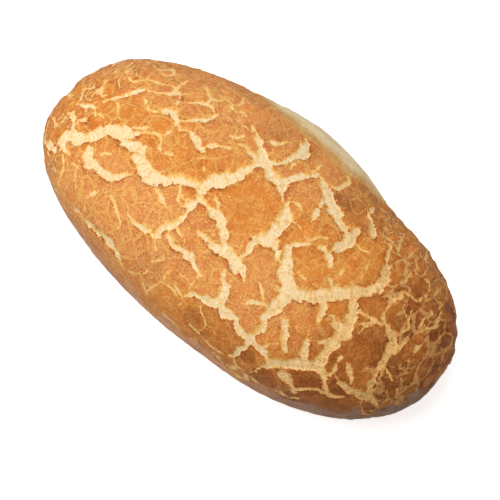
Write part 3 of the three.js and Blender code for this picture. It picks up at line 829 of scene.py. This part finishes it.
def bend(spot, size, shift):
    """The spot moved about by soft noise of the given size, both in millimetres."""
    inputs = {"Vector": spot, "Scale": 1 / (size * MM), "Detail": 1}
    push = spot.node("ShaderNodeTexNoise", {}, inputs, "Color").vector("SUBTRACT", (0.5, 0.5, 0.5))
    push = push.vector("MULTIPLY", (shift * MM, shift * MM, shift * MM))
    return spot.vector("ADD", push)


def crazing(spot, bends, cell, width, share):
    """Plates round scattered seeds, in a place bent by each (size, shift). A border between two plates opens
    by a draw that both share. Gives the distance from the open borders and a draw for the plate."""
    for size, shift in bends:
        spot = bend(spot, size, shift)
    inputs = {"Vector": spot, "Scale": 1 / (cell * MM)}
    border = spot.node("ShaderNodeTexVoronoi", {"feature": "DISTANCE_TO_EDGE"}, inputs)
    first = spot.node("ShaderNodeTexVoronoi", {"feature": "F1"}, inputs, "Color")
    second = spot.node("ShaderNodeTexVoronoi", {"feature": "F2"}, inputs, "Color")
    draw = first.part("Red") + second.part("Red")
    opened = draw.ease(2 - 2 * share, 2 - 0.8 * share)
    gap = border * cell - opened * (width / 2 + 1) + 1
    return gap, first.part("Green")


def coats(base, layers):
    """A base colour under layers of (share, colour), laid on one after another."""
    for share, coat in layers:
        base = share.between(base, coat)
    return base


# Marks over the whole crust, with their sizes in millimetres: torn edges that fray, pale flecks and specks,
# dark grains, and strands of crumb
FRAY, FRAY_SHIFT = 4.5, 6
FLECK, LONG_FLECK, SPECK, GRAIN = 1.2, 1.1, 0.8, 1.1
FLECK_LEVELS = (0.38, 0.62)  # of the noise, between which flecks come out
STRANDS_ALONG, STRANDS_ACROSS = 0.85, 0.16  # strands to each millimetre along a crack and across it

torn = mark("tear")
lee_side = mark("lee")
lit_side = 1 - lee_side
fray = (place.noise(FRAY, 5, 0.65) - 0.5) * FRAY_SHIFT
bitten = torn + fray * mark("bite")
even_flecks = place.noise(FLECK, 2, 0.6).ease(*FLECK_LEVELS)
drawn_out = mark("rim_lines", "Vector").vector("MULTIPLY", (0.4, 0.4, 1))
long_flecks = drawn_out.noise(LONG_FLECK, 2, 0.6).ease(*FLECK_LEVELS)
flecks = even_flecks + (long_flecks - even_flecks) * mark("crazed")
specks = place.noise(SPECK, 1, 0.6).ease(0.50, 0.64)
grains = place.vector("ADD", (0.1, 0.2, 0.3)).noise(GRAIN, 1, 0.6).ease(0.44, 0.32)
strand_place = {"X": mark("way") * STRANDS_ALONG, "Y": torn * STRANDS_ACROSS, "Z": 0}
strand_place = place.node("ShaderNodeCombineXYZ", {}, strand_place)
strands = place.node("ShaderNodeTexNoise", {}, {"Vector": strand_place, "Scale": 1, "Detail": 2})
strands = (strands.ease(0.36, 0.64) - 0.5) * mark("lone")
fibres = strands * 0.15 + flecks - 0.5
crack_floor = (bitten - lit_side * fibres * 0.5).ease(0.15, -0.15)

# Stretches along the loaf over which one look passes into the next
x_place = place.node("ShaderNodeSeparateXYZ", {}, {0: place})
toast = x_place.ease(30 * MM, 125 * MM)
right_end = x_place.ease(60 * MM, 115 * MM)
ends = x_place.ease(45 * MM, 60 * MM) + x_place.ease(-85 * MM, -100 * MM)
soft = x_place.ease(-105 * MM, -45 * MM) * mark("bite").ease(0.5, 1)
burnt = x_place.ease(30 * MM, 110 * MM)

# Crazing: the bends of its place, the size of its plates, the width of its cracks and the share that open
COARSE = (((7, 4), (2, 1.4)), 9, 1.1, 0.86)
LONG = (((4, 2), (1.4, 0.7)), 6.5, 0.5, 0.75)
FINE = (((4, 2), (1.4, 0.7)), 5.5, 0.5, 0.8)
VEINS = (((9, 3.5), (2, 1.5)), 11, 1.2, 0.95)
CRAZED_PATCH, COARSE_BREAK, VEIN_BREAK = 20, 6, 5  # sizes of the patches where it shows and of its breaks

craze = (mark("crazed") * 0.85 + place.noise(CRAZED_PATCH) * 1.2 - 0.7).ease(0, 0.5)
round_end = place.vector("MULTIPLY", (1.25, 0.65, 0.65))
along_side = place.vector("MULTIPLY", (0.65, 1.2, 1.2))
coarse_gap, coarse_draw = crazing(round_end, *COARSE)
long_gap, _ = crazing(along_side, *LONG)
fine_gap, fine_draw = crazing(round_end, *FINE)
vein_gap, vein_draw = crazing(place, *VEINS)
fuzz = fray * 0.2 - (flecks - 0.5) * 0.5
vein_gap = vein_gap + fuzz * 0.8 + (place.noise(VEIN_BREAK) - 0.5) * 1.2
coarse_gap = coarse_gap + fuzz * (1 + right_end * 0.6) + (1 - craze * ends) * 2
coarse_gap = coarse_gap + 0.25 - right_end * 0.6 + (place.noise(COARSE_BREAK) - 0.5) * 1.5
fine_gap = long_gap + (fine_gap - long_gap) * ends
fine_gap = fine_gap + fuzz * 0.6 + (1 - craze)

# Plates: each darkest at its edge on a crack's shaded side, partly a toasted torn edge and partly painted shade,
# and paler where it slopes away, flecked, with thin paler veins
PATCH, CLUSTER, FILAMENT = 9, 5, 9  # sizes of brown patches, of clusters of flecks and of pale threads
RIM_BREAK, FRAYED_STRETCH = 3, 11  # sizes of the breaks in a dark rim and of the stretches that fray

brown = mark("browned") * (1 + (coarse_draw - 0.5) * craze)
patches = place.noise(PATCH, 3, 0.55) * 0.8 + coarse_draw * 0.25 + fine_draw * 0.1 + vein_draw * 0.2
clusters = place.noise(CLUSTER, 3, 0.6).ease(0.36, 0.64)
filaments = place.noise(FILAMENT, 4, 0.6) - 0.5
filaments = place.math("ABSOLUTE", filaments, 0).ease(0.03, 0) * (0.2 + specks * 0.5)
sandy = ((flecks * 0.5 + specks * 0.5) * (0.2 + clusters * 0.8) + filaments) * (1 - brown * 0.35)
# A dark rim along a crack's shaded side and beside the finer splits: partly toasted torn paste, partly painted
# shade
rim = bitten.ease(6, 0) * 0.4 + bitten.ease(1.3, 0.2) * 0.8
rim = rim * lee_side * mark("bite").ease(0.45, 0.9)
split_rim = coarse_gap.ease(2.4, 0.2) * 0.45 + vein_gap.ease(1.8, 0.3) * mark("veined") * 0.2
rim = rim.larger(split_rim) * (0.6 + place.noise(RIM_BREAK) * 0.8)
fringe_colour = coats(HONEY, [(bitten.ease(0.1, 2), AMBER), (brown, EMBER)])
fray_reach = place.noise(FRAYED_STRETCH, 1).ease(0.42, 0.62)
fringe = (bitten - fibres - fray_reach * soft * 0.9).ease(0.7, -0.2) * lit_side * (0.45 + soft * 0.55)
fringe = fringe + (bitten - fibres * 0.5).ease(0.4, 0) * lee_side * 0.5
golden_veins = vein_gap.ease(0.5, -0.3) * mark("veined") * (0.4 + specks * 0.55)
golden_veins = golden_veins * (1 - right_end * 0.6) * (1 - mark("browned") * 0.4)
fine_lines = fine_gap.ease(0.3, -0.1) * (0.2 + specks * 0.35 - right_end * 0.05)
splits = coarse_gap.ease(0.35, -0.25) * (0.65 + specks * 0.35)
pale_lines = fine_lines.larger(splits)
plates = coats(GOLDEN, [
    ((patches - 0.1).ease(0.3, 0.95), BROWN),
    (brown * (0.7 + patches * 0.5), UMBER),
    (grains * 0.35, brown.between(REDDISH, UMBER)),
    (sandy, brown.between(AMBER, EMBER)),
    # painted sheen, standing for the gloss that reflects the room
    (mark("painted_sheen") * (0.04 + flecks * 0.22 + specks * 0.28), SHEEN_PAINT),
    # the dark rim: toasted torn paste and painted shade
    (rim * (1.1 - flecks * 0.35), brown.between(RUSSET, UMBER)),
    (fringe * 0.8, fringe_colour),
    (golden_veins, toast.between(HONEY, TAN)),
    (pale_lines, toast.larger(mark("browned")).between(PALE_LINE, TAN)),
])

# Crack floors: torn crumb in strands across the crack, honey-coloured towards its lit side, and toasted and holed
# to the right. That honey edge is partly the crumb's colour and partly painted shade under the plate sloping into
# the crack
SPONGE, HOLE = 1.4, 2.4

sponge = place.noise(SPONGE, 3, 0.65).ease(0.36, 0.66) - 0.5
shade = 0.28 + sponge * 1.1 + strands * 1.2
narrow = mark("bite").ease(0.8, 0.45)
holes = place.noise(HOLE, 1, 0.5).ease(0.62, 0.72) * toast
# Honey edge of the floor: the crumb's golden edge, and painted shade under the plate on the lit side
honey_edge_and_shade = (bitten * (1.3 - soft * 0.4 - fray_reach * 0.45 + lee_side * 1.2) + fibres * 0.5).ease(-1.1, 0.1)
crumb = coats(CREAM, [
    (toast, TOASTED),
    (shade * (0.6 + toast * 0.3), (0.4 + toast * 0.6).between(HONEY, TAN)),
    (narrow * (0.35 + flecks * 0.4), HONEY),
    (holes * 0.6, PORE),
    (honey_edge_and_shade, (toast * 0.8).between(HONEY, TAN)),
])
colour = crack_floor.between(plates, crumb)

# A few pinholes, painted as dark spots that stand for the shade inside them: (along, across from the middle line,
# radius)
PINHOLES = [(-66.3, 13.2, 0.9), (100, 14.3, 0.8), (-108.6, -17.2, 0.9), (-98, 46, 0.8), (41, -50, 0.5)]
for x, y, radius in PINHOLES:
    hole = tuple(crust_place(x, y) * MM)
    hole_shade = place.vector("DISTANCE", hole, "Value").ease(radius * 1.4 * MM, radius * 0.6 * MM)
    colour = (hole_shade * 0.9).between(colour, HOLE_SHADE)

# Bare crust low on the sides, the pale side, and the base
STREAK, BLOTCH, WRINKLE = 8, 14, 5

z_place = place.node("ShaderNodeSeparateXYZ", {}, {0: place}, "Z")
streaks = mark("grain", "Vector").noise(STREAK, 4).ease(0.36, 0.66)
blotches = place.noise(BLOTCH, 4, 0.6).ease(0.36, 0.64)
wrinkles = place.noise(WRINKLE, 4, 0.6).ease(0.36, 0.68)
mottle = blotches * 0.45 + streaks * 0.25
pale_grain = (streaks - 0.5) * 0.14 + (blotches - 0.5) * 0.14 + fray * 0.03
pale_here = mark("pale") + pale_grain * mark("pale").ease(0, 0.1)
pale_skin = (wrinkles * 0.4 + specks * 0.15 + grains * 0.15).between(KISSED, PALE_SKIN)
bare_crust = coats(BARE_BROWN, [
    (mottle, BARE_DARK),
    (specks * 0.3, BARE_FLECK),
    (grains * 0.35, BARE_DARK),
    (burnt * 0.95, (1 - mottle - grains * 0.2).between(BURNT, ASHEN)),
    (z_place.ease(30 * MM, 12 * MM) * 0.6, (mottle + grains * 0.2).between(LOW_GOLD, BARE_DARK)),
    (z_place.ease(12 * MM, 2 * MM) * (0.2 + blotches * 0.6), TRAY_EDGE),
    (pale_here.ease(0.02, 0.22), OLIVE),
    (pale_here.ease(0.36, 0.85), pale_skin),
])
bare_here = (mark("bare") + fray * 0.05).ease(0.35, 0.65)
colour = coats(colour, [(bare_here, bare_crust), (mark("under"), TRAY_BROWN)])

# The fine relief, in millimetres, and the gloss
PLATE_ROUGHNESS, CRUMB_ROUGHNESS = 0.45, 0.3  # the crumb's comes on top
SHEEN = 0.18
height = flecks * 0.12 + specks * 0.1 - grains * 0.13 + bare_here * wrinkles * 0.6
height = height + crack_floor * (sponge * 0.08 + strands * 0.06) - pale_lines * (0.1 + right_end * 0.25)
bump = place.node("ShaderNodeBump", {}, {"Height": height, "Distance": MM, "Strength": 1})
rough = PLATE_ROUGHNESS + crack_floor * CRUMB_ROUGHNESS
for name, value in {"Base Color": colour, "Roughness": rough, "Normal": bump}.items():
    tree.links.new(value.output, shader.inputs[name])
shader.inputs["Specular IOR Level"].default_value = SHEEN


def add_object(name, data):
    """A new object of the scene."""
    added = bpy.data.objects.new(name, data)
    bpy.context.scene.collection.objects.link(added)
    return added


loaf_mesh.materials.append(baked_crust)
loaf = add_object("loaf_crust", loaf_mesh)
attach(loaf, "root")
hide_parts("loaf")

# The floor
# A plain white sweep of matt board under the loaf, wide enough to fill every view. It is no part of the
# object, and it throws no light back on it.
FLOOR_HALF = 6.0  # metres
BOARD = {
    "Base Color": (0.93, 0.93, 0.93, 1),
    "Roughness": 0.9,
    "Specular IOR Level": 0,
    "Emission Color": (1, 1, 1, 1),
    "Emission Strength": 0.6,
}

floor_corners = np.array([(-1, -1, 0), (1, -1, 0), (1, 1, 0), (-1, 1, 0)], float) * FLOOR_HALF
floor_mesh = grid_mesh("floor", floor_corners, np.array([[0, 1, 2, 3]]), np.empty((0, 3), int))
white_board = bpy.data.materials.new("white_board")
white_board.use_nodes = True
board = white_board.node_tree.nodes["Principled BSDF"]
for name, value in BOARD.items():
    board.inputs[name].default_value = value
floor_mesh.materials.append(white_board)
floor_object = add_object("floor", floor_mesh)
floor_object.visible_diffuse = False
floor_object.visible_glossy = False

# The light
# A white room with two wide soft lamps: one overhead, and a weaker one low to the left of the picture.
LAMPS = [((-0.22, 0.04, 0.975), 8.0), ((-0.55, -0.52, 0.65), 6.6)]  # way to the lamp, and its watts
LAMP_DISTANCE = 1.3
LAMP_SIZE = 0.9
ROOM_LIGHT = 0.46

room = bpy.data.worlds.new("room")
room.use_nodes = True
background = room.node_tree.nodes["Background"]
background.inputs["Color"].default_value = (1, 1, 1, 1)
background.inputs["Strength"].default_value = ROOM_LIGHT
bpy.context.scene.world = room


def look(thing, spot, way):
    """Puts a lamp or camera at a spot, looking along a way with its top up."""
    thing.location = spot
    thing.rotation_mode = "QUATERNION"
    thing.rotation_quaternion = way.to_track_quat("-Z", "Y")


for lamp_way, power in LAMPS:
    lamp_data = bpy.data.lights.new("lamp", "AREA")
    lamp_data.energy = power
    lamp_data.size = LAMP_SIZE
    look(add_object("lamp", lamp_data), Vector(lamp_way) * LAMP_DISTANCE, -Vector(lamp_way))
bpy.context.scene.view_settings.view_transform = "Standard"

# The camera
# It looks steeply down on the loaf, which lies across the picture from upper left to lower right.
VIEW_AZIMUTH = math.radians(39.1)
VIEW_ELEVATION = math.radians(68)
VIEW_DISTANCE = 1.2
AIM = Vector((8.5, -10.2, 40.0)) * MM
PIXELS_PER_MM = 1.68  # at the aim
IMAGE_SIZE = 500

back = Vector((
    math.sin(VIEW_AZIMUTH) * math.cos(VIEW_ELEVATION),
    -math.cos(VIEW_AZIMUTH) * math.cos(VIEW_ELEVATION),
    math.sin(VIEW_ELEVATION),
))
camera_data = bpy.data.cameras.new("camera")
camera_data.lens = camera_data.sensor_width * PIXELS_PER_MM * VIEW_DISTANCE / MM / IMAGE_SIZE
camera = add_object("camera", camera_data)
look(camera, AIM + back * VIEW_DISTANCE, -back)
bpy.context.scene.camera = camera
